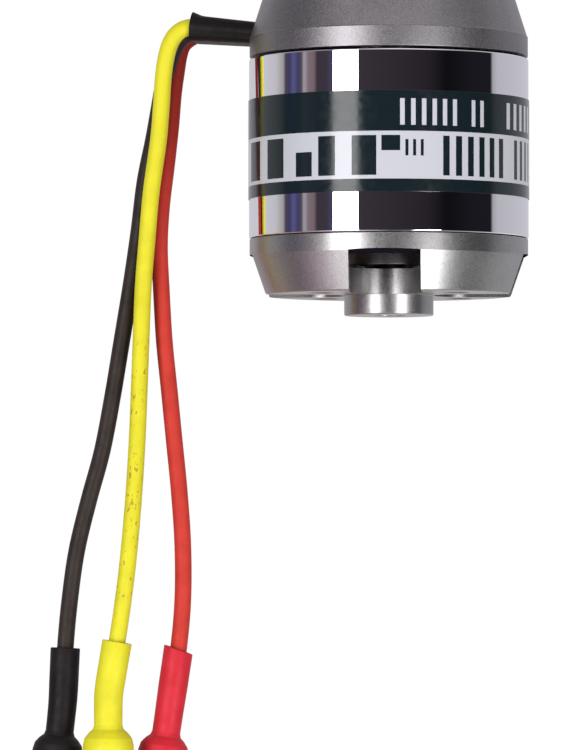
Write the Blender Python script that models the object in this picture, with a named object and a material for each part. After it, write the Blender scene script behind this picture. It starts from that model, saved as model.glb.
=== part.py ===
"""A 28 mm brushless outrunner motor with its three leads, modelled as the separate parts it is built from.

The origin is the centre of the front mounting face. The shaft points along +Z and the rotor hangs below.
The leads leave the front shield on the -X side and hang down. Every length is in millimetres and is scaled
by MM where the geometry is made.
"""

import math

import bmesh
import bpy
import numpy as np
from mathutils import Matrix, Vector

MM = 0.001
SIDES = 64  # of the large round parts
SMALL_SIDES = 24  # of the shaft, the bearings and the plugs
GAP = 0.05  # between parts that touch or are bonded

# Front shield
FACE_RADIUS = 11.95
FACE_EDGE = 0.8  # radius of the rounding between the face and the cone
CONE_BASE = -6.06
CONE_RADIUS = 13.88
BAND_RADIUS = 13.95
BAND_EDGE = 0.08
BAND_STEP = 0.06  # height of the step from the cone to the band
SHIELD_BOTTOM = -8.11
SHIELD_INSIDE = ((12.75, SHIELD_BOTTOM), (12.4, -6.0), (11.4, -3.0))  # the hollow under the plate
PLATE = 3.0
HOLE_CIRCLES = (8.0, 9.5)  # radii of the two pairs of mounting holes
M3_TAP = 1.25
COUNTERSINK = 0.5
TUBE_RADIUS = 4.9
TUBE_SHOULDER = 5.6
TUBE_BORE = 3.4
TUBE_BOTTOM = -29.05

# Bearings, 3.175 x 7.938 x 3.571
SHAFT_RADIUS = 1.5875
BEARING_RADIUS = 3.965
BEARING_SEAT = 4.0
BEARING_WIDTH = 3.571
RACE_OUTER = 3.32
RACE_INNER = 2.25
BALL_RADIUS = 0.5
BALLS = 7
CAGE_HALF_WIDTH = 0.2
CAGE_HALF_HEIGHT = 0.7
FRONT_BEARING = -0.1 - BEARING_WIDTH / 2
REAR_BEARING = TUBE_BOTTOM + 0.06 + BEARING_WIDTH / 2

# Stator
TEETH = 12
CORE_RADIUS = 11.1
CORE_TOP = -11.4
CORE_BOTTOM = -23.4
YOKE_RADIUS = 6.6
STEM_HALF = 1.1
TIP_HALF_ANGLE = math.radians(10.8)
TIP_ROOT = 10.25  # radius where a tooth starts to widen
TIP_CORNER = (10.75, 1.95)
COIL_INNER = 7.0
COIL_CROWN = 8.5  # radius where the end turns stand tallest
COIL_OUTER = 10.0
END_TURN = 2.6
COIL_GAP = 0.12  # from a coil to the middle of its slot

# Rotor
RING_RADIUS = 14.0
RING_BORE = 13.0
RING_TOP = -8.36
RING_BOTTOM = -26.3
RING_EDGE = 0.15
MAGNETS = 14
MAGNET_ARC = math.radians(22)
MAGNET_RADII = (11.35, 12.92)
MAGNET_TOP = -10.4
MAGNET_BOTTOM = -24.4
LABEL_TOP = -12.5
LABEL_BOTTOM = -22.4
LABEL_FILM = 0.06

# Rear end cap
CAP_TOP = -26.38
CAP_BAND_BOTTOM = -28.16
CAP_TAPER_RADII = (13.93, 12.65)
CAP_FACE = -32.0
CAP_FACE_EDGE = 0.2
WEB = 2.5
WEB_FILLET = 11.3  # radius where the fillet under the skirt starts
SPIGOT_TOP = -24.9
SPIGOT_BORE = 12.1
CAP_EDGE = 0.15
BOSS_RADIUS = 4.47
BOSS_END = -34.0
WINDOW_HALF = 3.55
WINDOW_TOP = -28.35
WINDOW_SLOPE = ((12.3, WINDOW_TOP), (14.95, -27.68))  # the window's top slopes up from here to here
WINDOW_STEPS = 7  # in each half of its round end
REAR_HOLES = 9.5
PATTERN_TURN = math.radians(-2.9)  # the cap's windows stand this far from the X and Y axes
GRUB_RADIUS = 1.0
GRUB_HOLE = 1.04
GRUB_LEVEL = -30.9
SOCKET_RADIUS = 0.5

# Shaft and its front collar
SHAFT_TOP = 14.0
SHAFT_BOTTOM = -33.9
SHAFT_EDGE = 0.3
RUNNING_GAP = 0.03  # from the shaft to what is pushed on it
COLLAR_RADIUS = 3.6
COLLAR = (0.35, 3.35)
WASHER_RADII = (2.6, 2.4)  # front and rear
REAR_WASHER = 0.35

# Lead exit: a flat black sheath over the three leads, in a slot through the cone
EXIT_AZIMUTH = math.radians(168)
EXIT_TILT = math.radians(5.6)
EXIT_LEVEL = -6.83  # where the sheath's axis would cross the motor's
SHEATH_ROOT = 12.2  # both distances run along the sheath's axis
SHEATH_MOUTH = 19.95
SHEATH_WALL = 0.12
SHEATH_HALF_HEIGHTS = (1.07, 1.32)  # at the root and at the mouth
SHEATH_HALF_DEPTH = 3.1
SLOT_GAP = 0.12
LEAD_DIAMETER = 1.7

# Lead routes, from inside the sheath to inside the connector
LEAD_ROUTES = {
    "yellow": [
        (-12.83, 0.89, -5.58), (-16.33, 1.63, -5.17), (-19.05, 2.23, -4.82), (-20.45, 2.38, -4.93),
        (-21.35, 2.4, -5.5), (-21.95, 2.4, -6.42), (-22.35, 2.4, -7.75), (-22.66, 2.4, -9.8),
        (-22.86, 2.4, -12.81), (-23.16, 2.4, -16.32), (-23.86, 2.4, -21.35), (-24.26, 2.4, -25.87),
        (-24.66, 2.4, -30.89), (-24.86, 2.3, -35.91), (-25.07, 2.0, -41.94), (-25.27, 1.6, -46.96),
        (-25.6, 1.1, -52.48), (-26.07, 0.7, -58.01), (-26.6, 0.5, -62.53), (-27.2, 0.4, -66.63),
        (-28.0, 0.4, -71.46), (-28.09, 0.4, -79.66),
    ],
    "black": [
        (-12.46, 2.65, -5.58), (-15.98, 3.4, -5.37), (-18.42, 3.91, -5.18), (-19.71, 4.15, -5.22),
        (-20.92, 4.22, -5.85), (-21.62, 4.27, -6.9), (-22.22, 4.3, -8.5), (-22.72, 4.3, -10.5),
        (-23.18, 4.3, -13.11), (-23.72, 4.3, -16.12), (-24.56, 4.2, -20.34), (-25.17, 4.1, -25.36),
        (-25.97, 4.0, -30.89), (-26.87, 3.9, -36.41), (-27.78, 3.9, -41.94), (-28.83, 4.0, -47.46),
        (-30.19, 4.1, -52.48), (-31.39, 4.2, -57.5), (-32.1, 4.3, -62.53), (-32.54, 4.4, -67.32),
        (-32.76, 4.4, -72.22), (-33.58, 4.4, -80.38),
    ],
    "red": [
        (-12.08, 4.45, -5.58), (-15.59, 5.2, -5.35), (-18.04, 5.72, -5.22), (-19.33, 5.95, -5.28),
        (-20.6, 5.97, -6.1), (-21.1, 5.98, -7.2), (-21.4, 5.95, -8.99), (-21.72, 5.8, -11.4),
        (-21.97, 5.4, -14.62), (-22.37, 4.9, -18.43), (-22.88, 4.5, -22.85), (-23.08, 4.4, -26.87),
        (-22.88, 4.3, -31.39), (-22.58, 4.2, -36.41), (-22.07, 4.1, -41.43), (-21.57, 4.0, -46.46),
        (-21.07, 3.9, -51.48), (-20.7, 3.9, -57.0), (-20.7, 3.9, -62.53), (-21.13, 3.9, -67.47),
        (-21.85, 3.9, -72.32), (-23.05, 3.9, -80.43),
    ],
}

# Connectors: where each sleeve starts, and how far its neck and its plug lean out of the vertical
CONNECTORS = {
    "yellow": ((-27.2, 0.4, -66.63), math.radians(9.5), 0.0),
    "black": ((-32.54, 4.4, -67.32), math.radians(2.5), math.radians(6.0)),
    "red": ((-21.13, 3.9, -67.47), math.radians(8.4), math.radians(8.4)),
}
KNEE = (4.3, 6.3)  # depths between which the neck bends into line with the plug

# Outlines of (radius, height) from the connector's start, which is at height 0
SLEEVE_OUTLINE = [
    (1.2, 0.0), (1.48, 0.0), (1.47, -4.3), (1.45, -5.3), (1.43, -6.3), (1.42, -8.65), (1.95, -9.1),
    (2.4, -9.7), (2.55, -10.5), (2.55, -18.0), (2.3, -18.0), (2.3, -10.6), (1.2, -9.0), (1.2, -6.3),
    (1.2, -5.3), (1.2, -4.3),
]
BULLET_OUTLINE = [
    (0, -13.6), (1.6, -13.6), (1.6, -10.8), (2.2, -10.8), (2.2, -16.8), (1.45, -17.2), (1.45, -18.4),
    (0.95, -18.4), (0.95, -26.6), (1.45, -26.6), (1.45, -27.0), (1.0, -27.5), (0, -27.5),
]
SPRING_OUTLINE = [
    (1.05, -18.5), (1.35, -18.5), (1.75, -21.0), (1.75, -24.0), (1.35, -26.5), (1.05, -26.5), (1.5, -24.0),
    (1.5, -21.0),
]
SPRING_SLITS = 6
SLIT = (0.24, -25.9, -19.1)  # width, bottom and top


def clear_scene():
    for item in list(bpy.data.objects):
        bpy.data.objects.remove(item, do_unlink=True)


def finish(name, colour, roughness, metallic=0.0):
    """A material of one colour."""
    made = bpy.data.materials.new(name)
    made.use_nodes = True
    shader = made.node_tree.nodes["Principled BSDF"]
    shader.inputs["Base Color"].default_value = (*colour, 1.0)
    shader.inputs["Roughness"].default_value = roughness
    shader.inputs["Metallic"].default_value = metallic
    return made


def ring(radius, z, sides):
    """The points of one circle about Z, or its centre point where the radius is 0."""
    if radius == 0:
        return [(0.0, 0.0, z)]
    angles = [2 * math.pi * i / sides for i in range(sides)]
    return [(radius * math.cos(a), radius * math.sin(a), z) for a in angles]


def turned(outline, sides=SIDES):
    """The shape that a closed outline of (radius, z) sweeps about Z."""
    return [ring(radius, z, sides) for radius, z in outline], True


def prism(outline, bottom, top):
    """The shape of an (x, y) outline between two heights."""
    return [[(x, y, z) for x, y in outline] for z in (bottom, top)], False


def tube(outer, inner, bottom, top, sides=SMALL_SIDES, edge=0.0):
    """A plain ring, with its outer edges broken by the given amount."""
    corners = [(inner, bottom), (outer - edge, bottom), (outer, bottom + edge)]
    corners += [(outer, top - edge), (outer - edge, top), (inner, top)]
    return turned(list(dict.fromkeys(corners)), sides)


def moved(shape, matrix):
    loops, closed = shape
    return [[matrix @ Vector(point) for point in loop] for loop in loops], closed


def about_z(angle):
    return Matrix.Rotation(angle, 4, "Z")


def skin(mesh, loops, closed):
    """Joins each loop of points to the next. If closed, the last joins the first. If not, the ends are capped."""
    rows = [[mesh.verts.new(Vector(point) * MM) for point in loop] for loop in loops]
    count = max(len(row) for row in rows)
    rows = [row * count if len(row) == 1 else row for row in rows]
    following = rows[1:] + rows[:1] if closed else rows[1:]
    for here, there in zip(rows, following):
        for i in range(count):
            corners = dict.fromkeys((here[i - 1], here[i], there[i], there[i - 1]))
            if len(corners) > 2:
                mesh.faces.new(corners)
    if not closed:
        mesh.faces.new(rows[0])
        mesh.faces.new(rows[-1])


def solid(name, shapes, material, parent=None, location=(0, 0, 0), rotation=(0, 0, 0)):
    """One object made of closed shapes, with its flat faces sharp and its round ones smooth."""
    work = bmesh.new()
    for loops, closed in shapes:
        skin(work, loops, closed)
    bmesh.ops.recalc_face_normals(work, faces=work.faces)
    mesh = bpy.data.meshes.new(name)
    work.to_mesh(mesh)
    work.free()
    mesh.shade_smooth()
    mesh.set_sharp_from_angle(angle=math.radians(30))
    made = bpy.data.objects.new(name, mesh)
    bpy.context.scene.collection.objects.link(made)
    made.parent = parent
    made.location = Vector(location) * MM
    made.rotation_euler = rotation
    if material:
        mesh.materials.append(material)
    return made


def combine(part, name, shapes, operation="DIFFERENCE", **place):
    """Cuts the shapes out of the part, or joins them to it."""
    cutter = solid(f"{name}_cutter", shapes, None, **place)
    cutter.hide_render = True
    cutter.display_type = "WIRE"
    step = part.modifiers.new(name, "BOOLEAN")
    step.operation = operation
    step.solver = "EXACT"
    step.object = cutter


def rounded(before, corner, after, radius, steps=3):
    """Points of the arc that rounds an outline's corner."""
    before, corner, after = (Vector(point) for point in (before, corner, after))
    to_before = (before - corner).normalized()
    to_after = (after - corner).normalized()
    half = to_before.angle(to_after) / 2
    centre = corner + (to_before + to_after).normalized() * radius / math.sin(half)
    start = corner + to_before * radius / math.tan(half) - centre
    end = corner + to_after * radius / math.tan(half) - centre
    return [tuple(centre + radius * start.slerp(end, i / steps)) for i in range(steps + 1)]


def arc(radius, start, end, steps):
    """Points of an arc about the origin."""
    angles = [start + (end - start) * i / steps for i in range(steps + 1)]
    return [(radius * math.cos(a), radius * math.sin(a)) for a in angles]


def stadium(half_width, half_height, steps=6):
    """A flat oval with round ends: its straight sides run along the first axis."""
    straight = half_width - half_height
    right = arc(half_height, -math.pi / 2, math.pi / 2, steps)
    left = arc(half_height, math.pi / 2, 3 * math.pi / 2, steps)
    return [(x + straight, y) for x, y in right] + [(x - straight, y) for x, y in left]


def section(outline, distance):
    """An outline of (y, z) standing across the X axis."""
    return [(distance, y, z) for y, z in outline]


def exit_frame():
    """The sheath's axis as X, with Y across the row of leads."""
    level = Matrix.Translation((0, 0, EXIT_LEVEL))
    return level @ about_z(EXIT_AZIMUTH) @ Matrix.Rotation(-EXIT_TILT, 4, "Y")


def front_shield(metal, parent):
    cone_foot = (CONE_RADIUS, CONE_BASE)
    outline = [(BEARING_SEAT, 0.0)]
    outline += rounded((BEARING_SEAT, 0.0), (FACE_RADIUS, 0.0), cone_foot, FACE_EDGE)
    outline += [
        cone_foot,
        (BAND_RADIUS, CONE_BASE - BAND_STEP),
        (BAND_RADIUS, SHIELD_BOTTOM + BAND_EDGE),
        (BAND_RADIUS - BAND_EDGE, SHIELD_BOTTOM),
        *SHIELD_INSIDE,
        (TUBE_SHOULDER, -PLATE),
        (TUBE_SHOULDER, CORE_TOP + GAP),
        (TUBE_RADIUS, CORE_TOP + GAP),
        (TUBE_RADIUS, TUBE_BOTTOM),
        (BEARING_SEAT, TUBE_BOTTOM),
        (BEARING_SEAT, REAR_BEARING + BEARING_WIDTH / 2 + GAP),
        (TUBE_BORE, REAR_BEARING + BEARING_WIDTH / 2 + GAP),
        (TUBE_BORE, FRONT_BEARING - BEARING_WIDTH / 2 - GAP),
        (BEARING_SEAT, FRONT_BEARING - BEARING_WIDTH / 2 - GAP),
    ]
    shield = solid("front_shield", [turned(outline)], metal, parent)
    hole = [(0, -PLATE - 1), (M3_TAP, -PLATE - 1), (M3_TAP, -0.3), (M3_TAP + COUNTERSINK, 0.2), (0, 0.2)]
    holes = []
    for quarter in range(4):
        place = about_z(quarter * math.pi / 2) @ Matrix.Translation((HOLE_CIRCLES[quarter % 2], 0, 0))
        holes.append(moved(turned(hole, 16), place))
    combine(shield, "mounting_holes", holes)
    slot = stadium(SHEATH_HALF_DEPTH + SLOT_GAP, SHEATH_HALF_HEIGHTS[0] + SLOT_GAP)
    lead_slot = [section(slot, SHEATH_ROOT - 1.7), section(slot, BAND_RADIUS + 2)], False
    combine(shield, "lead_slot", [moved(lead_slot, exit_frame())])


def stator_core(steel, parent):
    """The laminated core: a ring of teeth, each a stem with a wide tip."""
    pitch = 2 * math.pi / TEETH
    root = math.sqrt(YOKE_RADIUS**2 - STEM_HALF**2)
    side = [(root, STEM_HALF), (TIP_ROOT, STEM_HALF), TIP_CORNER]
    face = arc(CORE_RADIUS, -TIP_HALF_ANGLE, TIP_HALF_ANGLE, 4)
    outline = []
    for tooth in range(TEETH):
        turn = Matrix.Rotation(tooth * pitch, 2)
        points = [(x, -y) for x, y in side] + face + side[::-1]
        outline += [tuple(turn @ Vector(point)) for point in points]
    core = solid("stator_core", [prism(outline, CORE_BOTTOM, CORE_TOP)], steel, parent)
    bore = turned([(0, CORE_BOTTOM - 1), (TUBE_RADIUS + GAP, CORE_BOTTOM - 1),
                   (TUBE_RADIUS + GAP, CORE_TOP + 1), (0, CORE_TOP + 1)])
    combine(core, "core_bore", [bore])


def coils(copper, parent):
    """A winding round each tooth: a loop whose sides fill the wedge between two teeth."""
    pitch = 2 * math.pi / TEETH
    middle = (CORE_TOP + CORE_BOTTOM) / 2
    inner_half = (STEM_HALF + GAP, (CORE_TOP - CORE_BOTTOM) / 2 + GAP)

    def loop(distance, half_width, half_height, corner):
        wide = half_width - corner
        tall = half_height - corner
        points = []
        for quarter, (x, y) in enumerate(((wide, tall), (-wide, tall), (-wide, -tall), (wide, -tall))):
            start = quarter * math.pi / 2
            points += [(x + dx, y + dy) for dx, dy in arc(corner, start, start + math.pi / 2, 2)]
        return section(points, distance)

    def reach(distance):
        return distance * math.sin(pitch / 2) - COIL_GAP

    loops = [
        loop(COIL_INNER, *inner_half, 0.2),
        loop(COIL_OUTER, *inner_half, 0.2),
        loop(COIL_OUTER, reach(COIL_OUTER), inner_half[1] + END_TURN * 0.8, 1.2),
        loop(COIL_CROWN, reach(COIL_CROWN), inner_half[1] + END_TURN, 1.0),
        loop(COIL_INNER, reach(COIL_INNER), inner_half[1] + END_TURN * 0.7, 0.6),
    ]
    for tooth in range(TEETH):
        solid(f"coil_{tooth + 1:02}", [(loops, True)], copper, parent, (0, 0, middle), (0, 0, tooth * pitch))


def bearing(name, level, steel, cage_metal, stator, rotor):
    half = BEARING_WIDTH / 2
    outer = tube(BEARING_RADIUS, RACE_OUTER, -half, half, edge=0.2)
    inner = tube(RACE_INNER, SHAFT_RADIUS + RUNNING_GAP, -half, half)
    solid(f"{name}_bearing_outer", [outer], steel, stator, (0, 0, level))
    solid(f"{name}_bearing_inner", [inner], steel, rotor, (0, 0, level))
    middle = (RACE_OUTER + RACE_INNER) / 2
    band = tube(middle + CAGE_HALF_WIDTH, middle - CAGE_HALF_WIDTH, -CAGE_HALF_HEIGHT, CAGE_HALF_HEIGHT)
    cage = solid(f"{name}_bearing_cage", [band], cage_metal, stator, (0, 0, level))
    slope = BALL_RADIUS / math.sqrt(2)
    ball_outline = [(0, -BALL_RADIUS), (slope, -slope), (BALL_RADIUS, 0), (slope, slope), (0, BALL_RADIUS)]
    balls = []
    for number in range(BALLS):
        place = about_z(2 * math.pi * number / BALLS) @ Matrix.Translation((middle, 0, 0))
        balls.append(moved(turned(ball_outline, 6), place))
    combine(cage, f"{name}_balls", balls, "UNION", location=(0, 0, level))


def shaft_parts(steel, dark_steel, brass, parent):
    edge = SHAFT_EDGE
    outline = [
        (0, SHAFT_BOTTOM), (SHAFT_RADIUS - edge, SHAFT_BOTTOM), (SHAFT_RADIUS, SHAFT_BOTTOM + edge),
        (SHAFT_RADIUS, SHAFT_TOP - edge), (SHAFT_RADIUS - edge, SHAFT_TOP), (0, SHAFT_TOP),
    ]
    solid("shaft", [turned(outline, SMALL_SIDES)], steel, parent)
    bore = SHAFT_RADIUS + RUNNING_GAP
    front, rear = WASHER_RADII
    front_face = FRONT_BEARING + BEARING_WIDTH / 2
    solid("front_washer", [tube(front, bore, front_face + GAP, COLLAR[0] - GAP)], brass, parent)
    rear_face = REAR_BEARING - BEARING_WIDTH / 2
    solid("rear_washer", [tube(rear, bore, rear_face - GAP - REAR_WASHER, rear_face - GAP)], brass, parent)
    collar = solid("shaft_collar", [tube(COLLAR_RADIUS, bore, *COLLAR, edge=0.2)], dark_steel, parent)
    middle = sum(COLLAR) / 2
    combine(collar, "collar_screw_hole", [across(GRUB_HOLE, SHAFT_RADIUS - 0.2, COLLAR_RADIUS + 1)],
            location=(0, 0, middle), rotation=(0, 0, PATTERN_TURN))
    grub_screw("collar_screw", COLLAR_RADIUS - 0.15, middle, PATTERN_TURN, dark_steel, parent)


def across(radius, start, end):
    """A round pin or hole along the X axis."""
    upright = turned([(0, start), (radius, start), (radius, end), (0, end)], 16)
    return moved(upright, Matrix.Rotation(math.pi / 2, 4, "Y"))


def grub_screw(name, outer, level, azimuth, steel, parent):
    """A headless screw that bears on the shaft, with its socket facing out."""
    start = SHAFT_RADIUS + 0.05
    screw = solid(name, [across(GRUB_RADIUS, start, outer)], steel, parent, (0, 0, level), (0, 0, azimuth))
    hexagon = arc(SOCKET_RADIUS, 0, 2 * math.pi * 5 / 6, 5)
    socket = [section(hexagon, outer - 1), section(hexagon, outer + 1)], False
    combine(screw, f"{name}_socket", [socket],
            location=(0, 0, level), rotation=(0, 0, azimuth))


def flux_ring(chrome, parent):
    edge = RING_EDGE
    outline = [
        (RING_BORE, RING_BOTTOM), (RING_RADIUS - edge, RING_BOTTOM), (RING_RADIUS, RING_BOTTOM + edge),
        (RING_RADIUS, RING_TOP - edge), (RING_RADIUS - edge, RING_TOP), (RING_BORE, RING_TOP),
    ]
    solid("flux_ring", [turned(outline)], chrome, parent)


def label_film(paper, parent):
    inner = RING_RADIUS + 0.02
    solid("label_film", [tube(inner + LABEL_FILM, inner, LABEL_BOTTOM, LABEL_TOP, SIDES)], paper, parent)


def magnets(nickel, parent):
    inner, outer = MAGNET_RADII
    half = MAGNET_ARC / 2
    outline = arc(outer, -half, half, 5) + arc(inner, half, -half, 5)
    for place in range(MAGNETS):
        turn = 2 * math.pi * (place + 0.5) / MAGNETS
        solid(f"magnet_{place + 1:02}", [prism(outline, MAGNET_BOTTOM, MAGNET_TOP)], nickel, parent,
              rotation=(0, 0, turn))


def window():
    """The space of a window: round at its inner end, and open to the side."""
    centre = BOSS_RADIUS + WINDOW_HALF
    angles = [(i + 0.5) * math.pi / 2 / WINDOW_STEPS for i in range(WINDOW_STEPS)]
    stations = [(centre - WINDOW_HALF * math.cos(a), WINDOW_HALF * math.sin(a), WINDOW_TOP) for a in angles]
    stations += [(x, WINDOW_HALF, z) for x, z in ((centre, WINDOW_TOP), *WINDOW_SLOPE)]
    floor = CAP_FACE - 1
    return [[(x, y, floor), (x, -y, floor), (x, -y, top), (x, y, top)] for x, y, top in stations], False


def bell_end_cap(metal, steel, parent):
    """The rear cap: a band and a taper, a face with four windows open to the side, and the shaft's boss."""
    spigot = RING_BORE - GAP
    web_top = CAP_FACE + WEB
    bore = SHAFT_RADIUS + GAP
    taper_top, taper_foot = CAP_TAPER_RADII
    taper_start = (taper_top, CAP_BAND_BOTTOM)
    outline = [
        (SPIGOT_BORE, SPIGOT_TOP),
        (spigot - CAP_EDGE, SPIGOT_TOP),
        (spigot, SPIGOT_TOP - CAP_EDGE),
        (spigot, CAP_TOP),
        (BAND_RADIUS - BAND_EDGE, CAP_TOP),
        (BAND_RADIUS, CAP_TOP - BAND_EDGE),
        (BAND_RADIUS, CAP_BAND_BOTTOM + BAND_STEP),
        taper_start,
    ]
    outline += rounded(taper_start, (taper_foot, CAP_FACE), (BOSS_RADIUS, CAP_FACE), CAP_FACE_EDGE, 2)
    outline += [
        (BOSS_RADIUS, CAP_FACE),
        (BOSS_RADIUS, BOSS_END + CAP_EDGE),
        (BOSS_RADIUS - CAP_EDGE, BOSS_END),
        (bore, BOSS_END),
        (bore, web_top),
        (WEB_FILLET, web_top),
        (SPIGOT_BORE, web_top + SPIGOT_BORE - WEB_FILLET),
    ]
    cap = solid("bell_end_cap", [turned(outline)], metal, parent, rotation=(0, 0, PATTERN_TURN))

    windows = [moved(window(), about_z(quarter * math.pi / 2)) for quarter in range(4)]
    combine(cap, "windows", windows, rotation=(0, 0, PATTERN_TURN))

    hole = [(0, CAP_FACE - 0.2), (M3_TAP + COUNTERSINK, CAP_FACE - 0.2), (M3_TAP, CAP_FACE + 0.3),
            (M3_TAP, web_top + 1), (0, web_top + 1)]
    holes = []
    for quarter in range(4):
        place = about_z((quarter + 0.5) * math.pi / 2) @ Matrix.Translation((REAR_HOLES, 0, 0))
        holes.append(moved(turned(hole, 16), place))
    combine(cap, "rear_holes", holes, rotation=(0, 0, PATTERN_TURN))

    for number, azimuth in enumerate((PATTERN_TURN, PATTERN_TURN + math.pi / 2), 1):
        combine(cap, f"grub_hole_{number}", [across(GRUB_HOLE, SHAFT_RADIUS - 0.2, BOSS_RADIUS + 2)],
                location=(0, 0, GRUB_LEVEL), rotation=(0, 0, azimuth))
        grub_screw(f"grub_screw_{number}", BOSS_RADIUS - 0.3, GRUB_LEVEL, azimuth, steel, parent)


def lead_sheath(black, parent):
    """A flattened sleeve over the row of leads, wider at its open mouth."""
    root, mouth = SHEATH_HALF_HEIGHTS
    inner_depth = SHEATH_HALF_DEPTH - SHEATH_WALL
    loops = [
        section(stadium(SHEATH_HALF_DEPTH, root), SHEATH_ROOT),
        section(stadium(SHEATH_HALF_DEPTH, mouth), SHEATH_MOUTH),
        section(stadium(inner_depth, mouth - SHEATH_WALL), SHEATH_MOUTH),
        section(stadium(inner_depth, root - SHEATH_WALL), SHEATH_ROOT),
    ]
    solid("lead_sheath", [moved((loops, True), exit_frame())], black, parent)


def smooth_points(route, longest, sharpest):
    """Points along a smooth curve through the route, closer together where it bends."""
    points = np.array(route)
    ends = [2 * points[0] - points[1], 2 * points[-1] - points[-2]]
    points = np.vstack([ends[0], points, ends[1]])
    fine = []
    for before, start, end, after in zip(points, points[1:], points[2:], points[3:]):
        for t in np.linspace(0, 1, 24, endpoint=False):
            fine.append(0.5 * (2 * start + (end - before) * t
                               + (2 * before - 5 * start + 4 * end - after) * t**2
                               + (3 * start - before - 3 * end + after) * t**3))
    fine.append(points[-2])
    kept = [fine[0]]
    heading = Vector(fine[1] - fine[0])
    for here, there in zip(fine[1:-1], fine[2:]):
        travelled = np.linalg.norm(here - kept[-1])
        turned_by = heading.angle(Vector(there - here))
        if travelled >= longest or turned_by >= sharpest:
            kept.append(here)
            heading = Vector(there - here)
    if np.linalg.norm(fine[-1] - kept[-1]) < longest / 2:
        kept.pop()
    return kept + [fine[-1]]


def lead(name, route, plastic, parent):
    curve = bpy.data.curves.new(name, "CURVE")
    curve.dimensions = "3D"
    curve.bevel_depth = LEAD_DIAMETER / 2 * MM
    curve.bevel_resolution = 2
    curve.use_fill_caps = True
    points = smooth_points(route, 3 * LEAD_DIAMETER, math.radians(24))
    spline = curve.splines.new("POLY")
    spline.points.add(len(points) - 1)
    for point, place in zip(spline.points, points):
        point.co = (*(Vector(place) * MM), 1.0)
    curve.materials.append(plastic)
    made = bpy.data.objects.new(name, curve)
    bpy.context.scene.collection.objects.link(made)
    made.parent = parent


def connector_frame(colour, depth):
    """The place and lean of the connector's axis at a depth below its start."""
    start, neck, plug = CONNECTORS[colour]
    high, low = KNEE

    def lean(down):
        share = min(max((down - high) / (low - high), 0), 1)
        return neck + (plug - neck) * share

    place = Vector(start)
    steps = 40
    for i in range(steps):
        angle = lean(depth * (i + 0.5) / steps)
        place -= Vector((math.sin(angle), 0, math.cos(angle))) * depth / steps
    return Matrix.Translation(place) @ Matrix.Rotation(lean(depth), 4, "Y")


def connector(colour, plastic, brass, parent):
    """A shrunk sleeve over the solder cup of a 3.5 mm bullet plug, whose pin stands out of it."""
    loops = []
    for radius, height in SLEEVE_OUTLINE:
        frame = connector_frame(colour, -height)
        loops.append([frame @ Vector(point) for point in ring(radius, 0, SMALL_SIDES)])
    solid(f"sleeve_{colour}", [(loops, True)], plastic, parent)
    cup = -BULLET_OUTLINE[0][1]
    plug = connector_frame(colour, cup) @ Matrix.Translation((0, 0, cup))
    where = {"location": plug.translation, "rotation": plug.to_euler()}
    solid(f"bullet_{colour}", [turned(BULLET_OUTLINE, SMALL_SIDES)], brass, parent, **where)
    spring = solid(f"spring_{colour}", [turned(SPRING_OUTLINE, 18)], brass, parent, **where)
    width, bottom, top = SLIT
    inner, outer = 0.3, 2.2
    side = width / 2
    slit = prism([(inner, -side), (outer, -side), (outer, side), (inner, side)], bottom, top)
    slits = [moved(slit, about_z(2 * math.pi / SPRING_SLITS * number)) for number in range(SPRING_SLITS)]
    combine(spring, f"slits_{colour}", slits, parent=parent, **where)


def main():
    clear_scene()
    stator = bpy.data.objects.new("stator", None)
    rotor = bpy.data.objects.new("rotor", None)
    for empty in (stator, rotor):
        bpy.context.scene.collection.objects.link(empty)

    satin = finish("satin_aluminium", (0.42, 0.41, 0.43), 0.5, 1.0)
    chrome = finish("chrome", (0.62, 0.61, 0.63), 0.08, 1.0)
    steel = finish("ground_steel", (0.6, 0.6, 0.6), 0.2, 1.0)
    dark_steel = finish("black_oxide_steel", (0.06, 0.06, 0.06), 0.4, 1.0)
    core_coating = finish("lamination_coating", (0.03, 0.12, 0.06), 0.5)
    copper = finish("enamelled_copper", (0.6, 0.22, 0.08), 0.3, 1.0)
    nickel = finish("nickel_plate", (0.5, 0.5, 0.48), 0.3, 1.0)
    brass = finish("gold_plated_brass", (0.85, 0.62, 0.2), 0.25, 1.0)
    label = finish("label_print", (0.04, 0.07, 0.08), 0.25)
    black_tube = finish("black_tube", (0.02, 0.02, 0.02), 0.45)
    plastics = {
        "yellow": finish("yellow_tube", (0.9, 0.85, 0.03), 0.4),
        "black": finish("black_lead_tube", (0.025, 0.02, 0.02), 0.4),
        "red": finish("red_tube", (0.6, 0.02, 0.02), 0.4),
    }

    front_shield(satin, stator)
    stator_core(core_coating, stator)
    coils(copper, stator)
    bearing("front", FRONT_BEARING, steel, brass, stator, rotor)
    bearing("rear", REAR_BEARING, steel, brass, stator, rotor)
    shaft_parts(steel, dark_steel, brass, rotor)
    flux_ring(chrome, rotor)
    label_film(label, rotor)
    magnets(nickel, rotor)
    bell_end_cap(satin, dark_steel, rotor)
    lead_sheath(black_tube, stator)
    for colour, plastic in plastics.items():
        lead(f"lead_{colour}", LEAD_ROUTES[colour], plastic, stator)
        connector(colour, plastic, brass, stator)


main()
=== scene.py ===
"""Looks of the brushless outrunner motor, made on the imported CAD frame.

The motor's sizes are in millimetres, and MM turns them into metres. The camera, the lights and the floor are
in metres. The motor's axis is Z, its front mounting face is at z = 0 and the rotor hangs below it. One of the
rear cap's windows faces the camera, and the leads hang on the -X side.
"""

import math

import bmesh
import bpy
from mathutils import Matrix, Vector


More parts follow.
